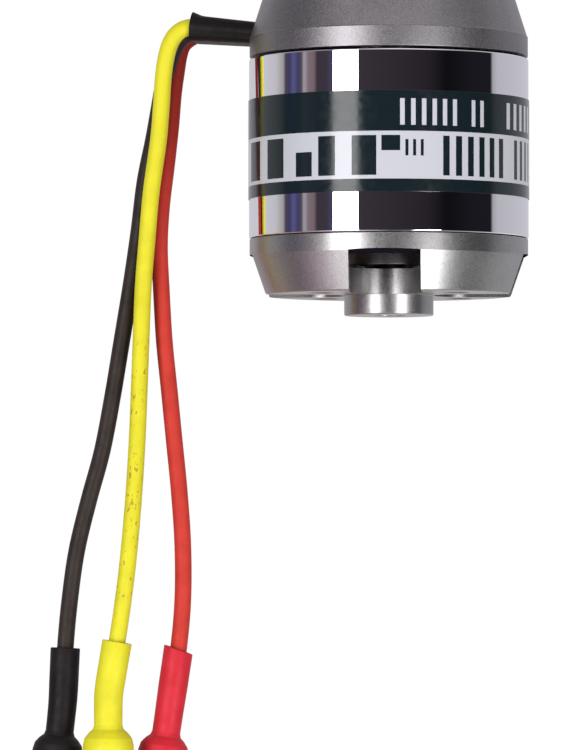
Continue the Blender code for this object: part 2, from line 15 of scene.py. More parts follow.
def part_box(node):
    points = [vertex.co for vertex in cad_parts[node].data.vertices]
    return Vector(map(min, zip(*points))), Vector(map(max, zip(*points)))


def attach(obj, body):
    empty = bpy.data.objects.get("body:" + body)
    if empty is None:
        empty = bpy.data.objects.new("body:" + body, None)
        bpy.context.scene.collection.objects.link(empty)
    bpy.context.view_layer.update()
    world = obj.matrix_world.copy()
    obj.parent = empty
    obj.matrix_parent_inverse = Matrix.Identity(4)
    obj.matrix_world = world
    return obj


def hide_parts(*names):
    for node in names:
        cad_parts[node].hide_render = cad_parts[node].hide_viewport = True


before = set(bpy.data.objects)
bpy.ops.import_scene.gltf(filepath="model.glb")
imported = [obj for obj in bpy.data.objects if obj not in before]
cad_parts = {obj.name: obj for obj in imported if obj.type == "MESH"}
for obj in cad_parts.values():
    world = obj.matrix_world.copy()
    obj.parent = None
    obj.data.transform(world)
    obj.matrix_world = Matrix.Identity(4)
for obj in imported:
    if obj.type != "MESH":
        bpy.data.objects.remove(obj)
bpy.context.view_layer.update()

MM = 0.001
FINE = 256  # sides of the large round pieces
SMALL = 64  # sides of the shaft, the tapped holes, the sleeves and the plugs
SHARP = 35  # degrees between faces over which an edge is hard
SMOOTH = 60  # the same for pieces that are round all over


# ---------------------------------------------------------------- sizes read from the frame

def radius_of(node):
    low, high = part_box(node)
    return (high[1] - low[1]) / 2 / MM


def heights_of(node):
    low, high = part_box(node)
    return low[2] / MM, high[2] / MM


RING_RADIUS = radius_of("flux_ring")
RING_BOTTOM, RING_TOP = heights_of("flux_ring")
LABEL_BOTTOM, LABEL_TOP = heights_of("label_film")
LABEL_RADIUS = radius_of("label_film")
BOSS_END, SPIGOT_TOP = heights_of("bell_end_cap")
SHAFT_RADIUS = radius_of("shaft")
SHAFT_BOTTOM, SHAFT_TOP = heights_of("shaft")
COLLAR_RADIUS = radius_of("shaft_collar")
COLLAR_BOTTOM, COLLAR_TOP = heights_of("shaft_collar")
TUBE_BOTTOM = heights_of("front_shield")[0]
CORE_BOTTOM, CORE_TOP = heights_of("stator_core")

# Sizes that the frame's boxes don't show. Each EDGE is the radius of a rounding
GAP = 0.05  # between parts that touch
CLEAR = 0.2  # how far a cutter stands past a surface

# Front shield
FACE_RADIUS = 11.95
FACE_EDGE = 0.8
CONE_BASE = -6.06
CONE_RADIUS = 13.88
BAND_RADIUS = 13.95
BAND_EDGE = 0.08
BAND_STEP = 0.06  # height of the step from a cone to its band
SHIELD_BOTTOM = -8.11
PLATE = 3.0
SHIELD_INSIDE = ((12.75, SHIELD_BOTTOM), (12.4, -6.0), (11.4, -PLATE))  # the hollow under the plate
HOLE_CIRCLES = (8.0, 9.5)  # radii of the two pairs of mounting holes
M3_TAP = 1.25
COUNTERSINK = 0.5
COUNTERSINK_DEPTH = 0.3
TUBE_RADIUS = 4.9
TUBE_SHOULDER = 5.6
TUBE_BORE = 3.4
BEARING_SEAT = 4.0
BEARING_DEPTH = 3.72

# Flux ring, label, shaft and collar
RING_WALL = 1.0
RING_EDGE = 0.16
LABEL_GAP = 0.02
LABEL_EDGE = 0.02
SHAFT_EDGE = 0.3
COLLAR_GAP = 0.03
COLLAR_EDGE = 0.2

# Rear cap
CAP_TOP = -26.38
CAP_BAND_BOTTOM = -28.16
CAP_TAPER_RADII = (13.93, 12.65)
CAP_FACE = -32.0
CAP_FACE_EDGE = 0.2
SPIGOT_BORE = 12.1
WEB_TOP = -29.5
WEB_FILLET = 11.3  # radius where the fillet under the skirt starts
BOSS_RADIUS = 4.47
BOSS_EDGE = 0.13
WINDOW_HALF = 3.55
WINDOW_TOP = -28.35
WINDOW_SLOPE = ((12.3, WINDOW_TOP), (14.95, -27.68))  # the window's top slopes up from here to here
REAR_HOLES = 9.5
GRUB_RADIUS = 1.04
GRUB_LEVEL = -30.9
PATTERN_TURN = math.radians(-2.9)  # the cap's windows stand this far from the X and Y axes

# The leads' exit
EXIT_AZIMUTH = math.radians(168)
EXIT_TILT = math.radians(5.6)
EXIT_LEVEL = -6.83  # where the sheath's axis would cross the motor's
SHEATH_ROOT = 12.2  # both distances run along the sheath's axis
SHEATH_MOUTH = 19.95
SHEATH_WALL = 0.12
SHEATH_HALF_HEIGHTS = (1.07, 1.32)  # at the root and at the mouth
SHEATH_HALF_DEPTH = 3.1
FLARE_START = 0.82  # share of the sheath's length where its mouth starts to flare
FLARE = 0.3
PINCH = 0.16  # depth of the crease along each edge
PINCH_LEVEL = -0.45
PINCH_WIDTH = 0.16
SLOT_GAP = 0.12
SLOT_REACH = (10.5, 16.0)  # distances between which the leads' slot is cut

# Coils
TEETH = 12
COIL_START = 7.0  # from the motor's axis
COIL_LENGTH = 3.0
COIL_GAP = 0.12
COIL_CROWN = 1.9  # how far a coil's ends stand over the core
COIL_BULGE = 0.5  # how much further its middle does
COIL_TURNS = 7
COIL_CORNER = 0.9
COIL_WIRE = 0.21  # radius

LEAD_DIAMETER = 1.7 * MM
# The leads' routes from inside the sheath to inside the connector, the same points as in the CAD source
LEAD_ROUTES = {
    "yellow": [
        (-12.83, 0.89, -5.58), (-16.33, 1.63, -5.17), (-19.05, 2.23, -4.82), (-20.45, 2.38, -4.93),
        (-21.35, 2.4, -5.5), (-21.95, 2.4, -6.42), (-22.35, 2.4, -7.75), (-22.66, 2.4, -9.8),
        (-22.86, 2.4, -12.81), (-23.16, 2.4, -16.32), (-23.86, 2.4, -21.35), (-24.26, 2.4, -25.87),
        (-24.66, 2.4, -30.89), (-24.86, 2.3, -35.91), (-25.07, 2.0, -41.94), (-25.27, 1.6, -46.96),
        (-25.6, 1.1, -52.48), (-26.07, 0.7, -58.01), (-26.6, 0.5, -62.53), (-27.2, 0.4, -66.63),
        (-28.0, 0.4, -71.46), (-28.09, 0.4, -79.66),
    ],
    "black": [
        (-12.46, 2.65, -5.58), (-15.98, 3.4, -5.37), (-18.42, 3.91, -5.18), (-19.71, 4.15, -5.22),
        (-20.92, 4.22, -5.85), (-21.62, 4.27, -6.9), (-22.22, 4.3, -8.5), (-22.72, 4.3, -10.5),
        (-23.18, 4.3, -13.11), (-23.72, 4.3, -16.12), (-24.56, 4.2, -20.34), (-25.17, 4.1, -25.36),
        (-25.97, 4.0, -30.89), (-26.87, 3.9, -36.41), (-27.78, 3.9, -41.94), (-28.83, 4.0, -47.46),
        (-30.19, 4.1, -52.48), (-31.39, 4.2, -57.5), (-32.1, 4.3, -62.53), (-32.54, 4.4, -67.32),
        (-32.76, 4.4, -72.22), (-33.58, 4.4, -80.38),
    ],
    "red": [
        (-12.08, 4.45, -5.58), (-15.59, 5.2, -5.35), (-18.04, 5.72, -5.22), (-19.33, 5.95, -5.28),
        (-20.6, 5.97, -6.1), (-21.1, 5.98, -7.2), (-21.4, 5.95, -8.99), (-21.72, 5.8, -11.4),
        (-21.97, 5.4, -14.62), (-22.37, 4.9, -18.43), (-22.88, 4.5, -22.85), (-23.08, 4.4, -26.87),
        (-22.88, 4.3, -31.39), (-22.58, 4.2, -36.41), (-22.07, 4.1, -41.43), (-21.57, 4.0, -46.46),
        (-21.07, 3.9, -51.48), (-20.7, 3.9, -57.0), (-20.7, 3.9, -62.53), (-21.13, 3.9, -67.47),
        (-21.85, 3.9, -72.32), (-23.05, 3.9, -80.43),
    ],
}

# Where each connector sleeve starts, and how far its neck and its plug lean out of the vertical
CONNECTORS = {
    "yellow": ((-27.2, 0.4, -66.63), math.radians(9.5), 0.0),
    "black": ((-32.54, 4.4, -67.32), math.radians(2.5), math.radians(6.0)),
    "red": ((-21.13, 3.9, -67.47), math.radians(8.4), math.radians(8.4)),
}
KNEE = (4.3, 6.3)  # depths between which the neck bends into line with the plug
SLANT = {"red": 0.2}  # slope at which the top of a sleeve is cut, where it isn't square

# Outlines of (radius, height). The connector's start is at height 0
NECK_HEIGHTS = [-3.5 - 0.4 * i for i in range(9)]  # the neck bends, so its walls have points at all of these
SLEEVE_OUTLINE = [
    (1.2, 0.0), (1.49, 0.0), (1.48, -2.0),
    *((1.48 + 0.016 * (height + 3.5), height) for height in NECK_HEIGHTS),
    (1.42, -8.4), (1.55, -8.8), (1.95, -9.15), (2.38, -9.7), (2.54, -10.4), (2.57, -11.3), (2.54, -17.0),
    (2.5, -18.0), (2.3, -18.0), (2.3, -10.6), (1.25, -9.0),
    *((1.2, height) for height in reversed(NECK_HEIGHTS)),
]
BULLET_OUTLINE = [
    (0, -13.6), (1.6, -13.6), (1.6, -10.8), (2.2, -10.8), (2.2, -16.8), (1.45, -17.2), (1.45, -18.4),
    (0.95, -18.4), (0.95, -26.6), (1.45, -26.6), (1.45, -27.0), (1.0, -27.5), (0, -27.5),
]
SPRING_OUTLINE = [
    (1.05, -18.5), (1.35, -18.5), (1.55, -19.6), (1.71, -20.8), (1.75, -22.5), (1.71, -24.2),
    (1.55, -25.4), (1.35, -26.5), (1.05, -26.5), (1.3, -25.4), (1.48, -24.2), (1.52, -22.5),
    (1.48, -20.8), (1.3, -19.6),
]
SPRING_SLITS = 6
SLIT = (0.26, -25.9, -19.1)  # width, bottom and top


# ---------------------------------------------------------------- camera, floor and light

VIEW_DISTANCE = 0.547
VIEW_TARGET = Vector((-0.01005, 0.0, -0.03994))
EYE = Vector((-0.01005, -VIEW_DISTANCE, -0.0567))
VIEW_HEIGHT = 0.0751  # what the picture's long side spans at the motor
SENSOR = 36.0
AMBIENT = 0.45  # how bright the room is to matt surfaces
LIGHT_CENTRE = Vector((0, 0, -0.02))
LIGHT_DISTANCE = 0.45
# Soft boxes: name, azimuth, elevation, width, height and watts
LIGHTS = [
    ("left_box", -36.3, -4, 0.17, 0.36, 1.4),
    ("right_box", 33, -25, 0.15, 0.38, 1.45),
]
FLOOR_LEVEL = -1.2
FLOOR_SIZE = 8.0


def make_camera():
    data = bpy.data.cameras.new("camera")
    data.sensor_width = SENSOR
    data.lens = SENSOR * (VIEW_TARGET - EYE).length / VIEW_HEIGHT
    data.clip_start = 0.02
    data.clip_end = 20
    camera = bpy.data.objects.new("camera", data)
    bpy.context.scene.collection.objects.link(camera)
    camera.location = EYE
    camera.rotation_euler = (VIEW_TARGET - EYE).to_track_quat("-Z", "Y").to_euler()
    bpy.context.scene.camera = camera


def node_tree(material):
    material.use_nodes = True
    tree = material.node_tree
    return tree, tree.nodes["Principled BSDF"]


def area_light(name, azimuth, elevation, width, height, watts):
    """A soft box that faces the motor. Azimuth 0 is the camera's side and 90 is +X."""
    data = bpy.data.lights.new(name, "AREA")
    data.shape = "RECTANGLE"
    data.size = width
    data.size_y = height
    data.energy = watts
    light = bpy.data.objects.new(name, data)
    bpy.context.scene.collection.objects.link(light)
    turn, lift = math.radians(azimuth), math.radians(elevation)
    towards = Vector((math.sin(turn) * math.cos(lift), -math.cos(turn) * math.cos(lift), math.sin(lift)))
    light.location = LIGHT_CENTRE + towards * LIGHT_DISTANCE
    light.rotation_euler = (-towards).to_track_quat("-Z", "Y").to_euler()
    light.visible_camera = False


# What polished metal mirrors, as (azimuth, colour): 0 is the camera's side and 90 is +X. One band of the room
# is level with the motor, one is below it and one is above
ROOM_LEVEL = [
    (-180, (0.60, 0.60, 0.66)), (-128, (0.62, 0.62, 0.66)), (-108, (0.55, 0.55, 0.58)),
    (-102, (0.44, 0.43, 0.42)), (-97.5, (0.36, 0.32, 0.33)), (-96, (0.08, 0.07, 0.09)),
    (-91, (0.050, 0.044, 0.11)), (-86, (0.10, 0.10, 0.25)), (-81, (0.053, 0.050, 0.12)),
    (-77, (0.09, 0.08, 0.10)), (-75.5, (0.36, 0.34, 0.37)), (-73, (0.32, 0.29, 0.32)),
    (-71, (0.22, 0.16, 0.18)), (-65, (0.19, 0.14, 0.16)), (-62.5, (0.045, 0.036, 0.050)),
    (-53, (0.045, 0.038, 0.050)), (-50, (0.065, 0.055, 0.11)), (-46, (0.042, 0.033, 0.042)),
    (-27, (0.042, 0.033, 0.042)), (30, (0.022, 0.017, 0.023)), (47, (0.005, 0.0045, 0.006)),
    (71, (0.010, 0.010, 0.014)), (92, (0.011, 0.011, 0.015)), (94, (0.38, 0.38, 0.41)),
    (100, (0.50, 0.50, 0.54)), (180, (0.62, 0.62, 0.68)),
]
ROOM_BELOW = [
    (-180, (0.66, 0.50, 0.42)), (-144, (0.66, 0.48, 0.40)), (-95, (0.22, 0.17, 0.19)),
    (-86, (0.22, 0.17, 0.19)), (-72, (0.60, 0.42, 0.50)), (-48, (1.10, 1.00, 1.08)),
    (-25, (0.40, 0.36, 0.40)), (0, (0.10, 0.09, 0.10)), (60, (0.25, 0.25, 0.26)),
    (70, (0.20, 0.20, 0.21)), (94, (0.42, 0.42, 0.42)), (132, (0.95, 0.95, 0.95)),
    (180, (0.95, 0.92, 0.90)),
]
ROOM_ABOVE = [
    (-180, (0.60, 0.58, 0.60)), (-129, (0.49, 0.47, 0.49)), (-102, (0.26, 0.25, 0.27)),
    (-82, (0.26, 0.25, 0.27)), (-64, (0.28, 0.27, 0.29)), (-48, (0.36, 0.34, 0.36)),
    (-33, (0.55, 0.53, 0.55)), (0, (0.84, 0.82, 0.84)), (40, (0.95, 0.93, 0.95)),
    (72, (0.40, 0.39, 0.41)), (81, (0.34, 0.33, 0.35)), (127, (0.71, 0.70, 0.72)),
    (180, (0.80, 0.78, 0.80)),
]

LEVEL_TO_ABOVE = (0.15, 0.5)  # sines of the elevations between which one band turns to the next
LEVEL_TO_BELOW = (-0.15, -0.45)


def make_world():
    """White to the eye and even to matt surfaces, and for glossy ones the room in the tables above."""
    world = bpy.data.worlds.new("studio")
    bpy.context.scene.world = world
    bpy.context.scene.view_settings.view_transform = "Standard"
    world.use_nodes = True
    nodes, links = world.node_tree.nodes, world.node_tree.links
    place = nodes.new("ShaderNodeTexCoord")
    split = nodes.new("ShaderNodeSeparateXYZ")
    links.new(place.outputs["Generated"], split.inputs[0])
    flip = nodes.new("ShaderNodeMath")
    flip.operation = "MULTIPLY"
    flip.inputs[1].default_value = -1
    links.new(split.outputs["Y"], flip.inputs[0])
    turn = nodes.new("ShaderNodeMath")
    turn.operation = "ARCTAN2"
    links.new(split.outputs["X"], turn.inputs[0])
    links.new(flip.outputs[0], turn.inputs[1])

    def part_of(socket, start, end):
        share = nodes.new("ShaderNodeMapRange")
        share.inputs["From Min"].default_value = start
        share.inputs["From Max"].default_value = end
        links.new(socket, share.inputs["Value"])
        return share.outputs[0]

    def round_the_room(stops):
        ramp = nodes.new("ShaderNodeValToRGB")
        elements = ramp.color_ramp.elements
        while len(elements) < len(stops):
            elements.new(0.5)
        for element, (degrees, _) in zip(elements, stops):
            element.position = (degrees + 180) / 360
        for element, (_, colour) in zip(elements, stops):
            element.color = (*colour, 1)
        links.new(part_of(turn.outputs[0], -math.pi, math.pi), ramp.inputs[0])
        return ramp.outputs[0]

    def mixed(factor, usual, other):
        choice = nodes.new("ShaderNodeMix")
        choice.data_type = "RGBA"
        links.new(factor, choice.inputs["Factor"])
        links.new(usual, choice.inputs["A"])
        if isinstance(other, float):
            choice.inputs["B"].default_value = (other, other, other, 1)
        else:
            links.new(other, choice.inputs["B"])
        return choice.outputs["Result"]

    up = split.outputs["Z"]
    colour = mixed(part_of(up, *LEVEL_TO_ABOVE), round_the_room(ROOM_LEVEL), round_the_room(ROOM_ABOVE))
    colour = mixed(part_of(up, *LEVEL_TO_BELOW), colour, round_the_room(ROOM_BELOW))
    path = nodes.new("ShaderNodeLightPath")
    colour = mixed(path.outputs["Is Diffuse Ray"], colour, AMBIENT)
    colour = mixed(path.outputs["Is Camera Ray"], colour, 1.0)
    links.new(colour, nodes["Background"].inputs["Color"])


def make_floor():
    """A plain pale sheet, far under the hanging motor."""
    mesh = bpy.data.meshes.new("floor")
    half = FLOOR_SIZE / 2
    corners = [(x * half, y * half, FLOOR_LEVEL) for x, y in ((-1, -1), (1, -1), (1, 1), (-1, 1))]
    mesh.from_pydata(corners, [], [(0, 1, 2, 3)])
    floor = bpy.data.objects.new("floor", mesh)
    bpy.context.scene.collection.objects.link(floor)
    floor.visible_glossy = False
    floor.visible_diffuse = False
    material = bpy.data.materials.new("pale_floor")
    _, shader = node_tree(material)
    shader.inputs["Base Color"].default_value = (0.9, 0.9, 0.9, 1)
    shader.inputs["Roughness"].default_value = 0.9
    shader.inputs["Emission Color"].default_value = (1, 1, 1, 1)
    shader.inputs["Emission Strength"].default_value = 0.55
    mesh.materials.append(material)


# ---------------------------------------------------------------- mesh helpers

def ring(radius, z, sides):
    if radius == 0:
        return [(0.0, 0.0, z)]
    angles = [2 * math.pi * i / sides for i in range(sides)]
    return [(radius * math.cos(a), radius * math.sin(a), z) for a in angles]


def turned(outline, sides=FINE):
    """The shape that a closed outline of (radius, z) sweeps about Z."""
    return [ring(radius, z, sides) for radius, z in outline], True


def prism(outline, bottom, top):
    return [[(x, y, z) for x, y in outline] for z in (bottom, top)], False


def moved(shape, matrix):
    loops, closed = shape
    return [[matrix @ Vector(point) for point in loop] for loop in loops], closed


def about_z(angle):
    return Matrix.Rotation(angle, 4, "Z")


def arc(radius, start, end, steps):
    angles = [start + (end - start) * i / steps for i in range(steps + 1)]
    return [(radius * math.cos(a), radius * math.sin(a)) for a in angles]


def section(outline, distance):
    """An outline of (y, z) standing across the X axis."""
    return [(distance, y, z) for y, z in outline]


def rounded(before, corner, after, radius, steps):
    """Points of the arc that rounds an outline's corner. A straight or cramped corner stays as it is."""
    before, corner, after = (Vector(point) for point in (before, corner, after))
    to_before, to_after = before - corner, after - corner
    half = to_before.angle(to_after) / 2
    reach = radius / math.tan(half)
    limit = 0.45 * min(to_before.length, to_after.length)
    if half > math.radians(86) or limit < 1e-6:
        return [tuple(corner)]
    if reach > limit:
        radius *= limit / reach
        reach = limit
    to_before.normalize()
    to_after.normalize()
    centre = corner + (to_before + to_after).normalized() * radius / math.sin(half)
    start = corner + to_before * reach - centre
    end = corner + to_after * reach - centre
    return [tuple(centre + radius * start.slerp(end, i / steps)) for i in range(steps + 1)]


def eased(outline, radius=0.06, steps=2, own=None):
    """The outline with every corner off the axis rounded alike, or by its own radius and steps."""
    own = own or {}
    points = []
    for i, corner in enumerate(outline):
        if corner[0] == 0:
            points.append(corner)
        else:
            following = outline[(i + 1) % len(outline)]
            points += rounded(outline[i - 1], corner, following, *own.get(corner, (radius, steps)))
    return points


def skin(mesh, loops, closed):
    """Joins each loop of points to the next.

    If closed, the last loop joins the first. If not, both ends are capped.
    """
    rows = [[mesh.verts.new(Vector(point) * MM) for point in loop] for loop in loops]
    count = max(len(row) for row in rows)
    rows = [row * count if len(row) == 1 else row for row in rows]
    following = rows[1:] + rows[:1] if closed else rows[1:]
    for here, there in zip(rows, following):
        for i in range(count):
            corners = dict.fromkeys((here[i - 1], here[i], there[i], there[i - 1]))
            if len(corners) > 2:
                mesh.faces.new(corners)
    if not closed:
        mesh.faces.new(rows[0])
        mesh.faces.new(rows[-1])


def piece(name, shapes, material, sharp=SHARP):
    """One mesh object made of closed shapes, round faces smooth and edges over the sharp angle hard."""
    work = bmesh.new()
    for loops, closed in shapes:
        skin(work, loops, closed)
    bmesh.ops.recalc_face_normals(work, faces=work.faces)
    mesh = bpy.data.meshes.new(name)
    work.to_mesh(mesh)
    work.free()
    mesh.shade_smooth()
    mesh.set_sharp_from_angle(angle=math.radians(sharp))
    if material:
        mesh.materials.append(material)
    made = bpy.data.objects.new(name, mesh)
    bpy.context.scene.collection.objects.link(made)
    return made


def carve(target, shapes):
    """Cuts the shapes out of a piece, and keeps the result as its mesh."""
    cutter = piece("cutter", shapes, None)
    step = target.modifiers.new("carve", "BOOLEAN")
    step.operation = "DIFFERENCE"
    step.solver = "EXACT"
    step.object = cutter
    bpy.context.view_layer.update()
    result = bpy.data.meshes.new_from_object(target.evaluated_get(bpy.context.evaluated_depsgraph_get()))
    target.modifiers.remove(step)
    result.name = target.name
    target.data = result
    bpy.data.objects.remove(cutter, do_unlink=True)
    result.shade_smooth()
    result.set_sharp_from_angle(angle=math.radians(SHARP))


def stand(obj, body, *nodes):
    """The piece rides on a body and stands for these CAD nodes. Its flat faces shade flat."""
    if obj.type == "MESH":
        step = obj.modifiers.new("flat_faces", "WEIGHTED_NORMAL")
        step.keep_sharp = True
        step.weight = 90
    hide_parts(*nodes)
    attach(obj, body)


# ---------------------------------------------------------------- materials

class Paint:
    """A material whose nodes are added one after another."""

    def __init__(self, name, colour, roughness, metallic=0.0):
        self.material = bpy.data.materials.new(name)
        self.tree, self.shader = node_tree(self.material)
        self.set("Base Color", (*colour, 1))
        self.set("Roughness", roughness)
        self.set("Metallic", metallic)
        self.place = self.node("ShaderNodeTexCoord").outputs["Object"]
        self.normal = None

    def node(self, kind, **values):
        made = self.tree.nodes.new(kind)
        for key, value in values.items():
            setattr(made, key, value)
        return made

    def link(self, start, end):
        self.tree.links.new(start, end)

    def set(self, socket, value):
        self.shader.inputs[socket].default_value = value

    def stretched(self, scale):
        """Object coordinates scaled along each axis."""
        mapping = self.node("ShaderNodeMapping")
        mapping.inputs["Scale"].default_value = scale
        self.link(self.place, mapping.inputs["Vector"])
        return mapping.outputs["Vector"]

    def noise(self, scale, detail=2.0, roughness=0.5, vector=None):
        texture = self.node("ShaderNodeTexNoise")
        texture.inputs["Scale"].default_value = scale
        texture.inputs["Detail"].default_value = detail
        texture.inputs["Roughness"].default_value = roughness
        self.link(vector or self.place, texture.inputs["Vector"])
        return texture.outputs["Fac"]

    def ramp(self, factor, stops, interpolation="LINEAR"):
        made = self.node("ShaderNodeValToRGB")
        made.color_ramp.interpolation = interpolation
        elements = made.color_ramp.elements
        while len(elements) < len(stops):
            elements.new(0.5)
        for element, (position, _) in zip(elements, stops):
            element.position = position
        for element, (_, colour) in zip(elements, stops):
            element.color = (*colour, 1)
        self.link(factor, made.inputs["Fac"])
        return made.outputs["Color"]

    def spread(self, factor, low, high, start=0.0, end=1.0):
        """The factor's range from start to end, mapped to low and high."""
        made = self.node("ShaderNodeMapRange")
        made.inputs["From Min"].default_value = start
        made.inputs["From Max"].default_value = end
        made.inputs["To Min"].default_value = low
        made.inputs["To Max"].default_value = high
        self.link(factor, made.inputs["Value"])
        return made.outputs["Result"]

    def bump(self, height, depth, strength=1.0):
        made = self.node("ShaderNodeBump")
        made.inputs["Strength"].default_value = strength
        made.inputs["Distance"].default_value = depth * MM
        self.link(height, made.inputs["Height"])
        if self.normal:
            self.link(self.normal, made.inputs["Normal"])
        self.normal = made.outputs["Normal"]
        self.link(self.normal, self.shader.inputs["Normal"])

    def times(self, first, second):
        made = self.node("ShaderNodeMath", operation="MULTIPLY")
        self.link(first, made.inputs[0])
        if isinstance(second, float):
            made.inputs[1].default_value = second
        else:
            self.link(second, made.inputs[1])
        return made.outputs[0]

    def between(self, value, low, high):
        """1 where the value lies between two limits, and 0 elsewhere."""
        over = self.node("ShaderNodeMath", operation="GREATER_THAN")
        under = self.node("ShaderNodeMath", operation="LESS_THAN")
        for test, limit in ((over, low), (under, high)):
            self.link(value, test.inputs[0])
            test.inputs[1].default_value = limit
        return self.times(over.outputs[0], under.outputs[0])

    def blend(self, factor, usual, colour):
        """A colour socket, with another colour laid over it by a factor."""
        made = self.node("ShaderNodeMix", data_type="RGBA")
        self.link(factor, made.inputs["Factor"])
        self.link(usual, made.inputs["A"])
        made.inputs["B"].default_value = (*colour, 1)
        return made.outputs["Result"]

    def colour_from(self, socket):
        self.link(socket, self.shader.inputs["Base Color"])

    def roughness_from(self, socket):
        self.link(socket, self.shader.inputs["Roughness"])


INKS = {"dark": (0.0065, 0.013, 0.0165), "pale": (0.48, 0.48, 0.53)}
WHITE_BAND = (1.2, 5.9)  # heights of its edges above the label's lower edge
# Plain bars on the label: degrees round it, pitch and filled share, heights from its lower edge, ink.
# A share over 1 makes one solid bar
LABEL_BARS = [
    ((2.5, 28.5), 4.4, 0.42, (6.5, 9.1), "pale"),
    ((33, 42.5), 4.4, 0.42, (6.5, 9.1), "pale"),
    ((54, 80), 5.6, 0.45, (6.5, 9.1), "pale"),
    ((-78, -66), 10, 1.1, (1.6, 5.5), "dark"),
    ((-59.5, -48.5), 10, 1.1, (1.6, 5.5), "dark"),
    ((-41.5, -33.5), 10, 1.1, (1.6, 4.0), "dark"),
    ((-30.5, -23), 10, 1.1, (1.6, 5.5), "dark"),
    ((-16, -6), 10, 1.1, (1.6, 5.5), "dark"),
    ((-4, 3.5), 10, 1.1, (4.0, 5.5), "dark"),
    ((5, 14), 3.1, 0.4, (3.5, 5.1), "dark"),
    ((21, 54), 5.65, 0.5, (1.6, 5.5), "dark"),
    ((60, 80), 5.65, 0.5, (1.6, 5.5), "dark"),
]


def blasted(name, dark, light, roughness, grain_depth=0.02):
    """Bead-blasted aluminium: a fine even grain, with the tone drifting slightly over the piece."""
    paint = Paint(name, light, roughness, 1.0)
    grain = paint.noise(7000, 3.0, 0.6)
    tone = paint.noise(160)
    mixed = paint.node("ShaderNodeMath", operation="ADD")
    paint.link(paint.spread(grain, 0.0, 0.75, 0.25, 0.75), mixed.inputs[0])
    paint.link(paint.spread(tone, 0.0, 0.25, 0.3, 0.7), mixed.inputs[1])
    paint.colour_from(paint.ramp(mixed.outputs[0], [(0.15, dark), (0.85, light)]))
    paint.roughness_from(paint.spread(grain, roughness - 0.06, roughness + 0.06, 0.3, 0.7))
    paint.bump(grain, grain_depth, 0.8)
    return paint.material


def painted_shade_coat(name, dark, light):
    """Painted shade: a dull dark colour that mirrors nothing, with a fine mottle, for a face that lies in
    shadow.
    """
    paint = Paint(name, light, 0.9)
    paint.colour_from(paint.ramp(paint.noise(3000), [(0.3, dark), (0.7, light)]))
    paint.bump(paint.noise(5000), 0.004, 0.5)
    paint.set("Specular IOR Level", 0.0)
    return paint.material


def plated(name, colour, roughness, ripple):
    """Polished plating, with a very slight ripple and hairline wear."""
    paint = Paint(name, colour, roughness, 1.0)
    hairs = paint.noise(900, 2.0, 0.6, paint.stretched((1, 1, 6)))
    paint.roughness_from(paint.spread(hairs, roughness * 0.6, roughness * 1.5, 0.35, 0.7))
    paint.bump(paint.noise(330), ripple)
    return paint.material


def ground(name, colour, roughness, pitch=9000):
    """Ground metal, with fine marks that run round it."""
    paint = Paint(name, colour, roughness, 1.0)
    marks = paint.noise(1.0, 3.0, 0.6, paint.stretched((500, 500, pitch)))
    paint.roughness_from(paint.spread(marks, roughness * 0.7, roughness * 1.5, 0.3, 0.7))
    paint.bump(marks, 0.0012, 0.6)
    darker = tuple(c * 0.85 for c in colour)
    paint.colour_from(paint.ramp(paint.noise(250), [(0.3, darker), (0.7, colour)]))
    return paint.material


MARK_COLOUR = (0.42, 0.28, 0.02)  # of the specks on the yellow lead
# Heights in metres between which the specks fade in and out, and a lead turns to the painted shade of its
# upper end
MARKS_START = (-0.0645, -0.0625)
MARKS_END = (-0.0375, -0.0355)
PAINTED_SHADE_HEIGHTS = (-0.026, -0.010)


def shrunk_tube(name, shade, colour, roughness, top_painted_shade=1.0, marks=False, shine=0.2):
    """Soft tube: slight lumps and lengthwise ridges, a mottled tone, and painted shade at its upper end."""
    paint = Paint(name, colour, roughness)
    tone = paint.ramp(paint.noise(420, 3.0, 0.55), [(0.3, shade), (0.62, colour)])
    split = paint.node("ShaderNodeSeparateXYZ")
    paint.link(paint.place, split.inputs[0])
    # painted shade: the colour darkens towards the lead's upper end, where it lies in shadow
    shaded_top_colour = tuple(c * top_painted_shade for c in colour)
    tone = paint.blend(paint.spread(split.outputs["Z"], 0.0, 1.0, *PAINTED_SHADE_HEIGHTS), tone, shaded_top_colour)
    if marks:
        specks = paint.spread(paint.noise(2600, 2.0, 0.6, paint.stretched((1, 1, 0.5))), 0.0, 1.0, 0.62, 0.66)
        low = paint.spread(split.outputs["Z"], 0.0, 1.0, *MARKS_START)
        high = paint.spread(split.outputs["Z"], 1.0, 0.0, *MARKS_END)
        tone = paint.blend(paint.times(specks, paint.times(low, high)), tone, MARK_COLOUR)
    paint.colour_from(tone)
    paint.roughness_from(paint.spread(paint.noise(1300), roughness - 0.07, roughness + 0.08, 0.3, 0.7))
    paint.bump(paint.noise(700), 0.04, 0.5)
    paint.bump(paint.noise(1.0, vector=paint.stretched((2600, 2600, 160))), 0.03, 0.6)
    paint.set("Specular IOR Level", shine)
    return paint.material


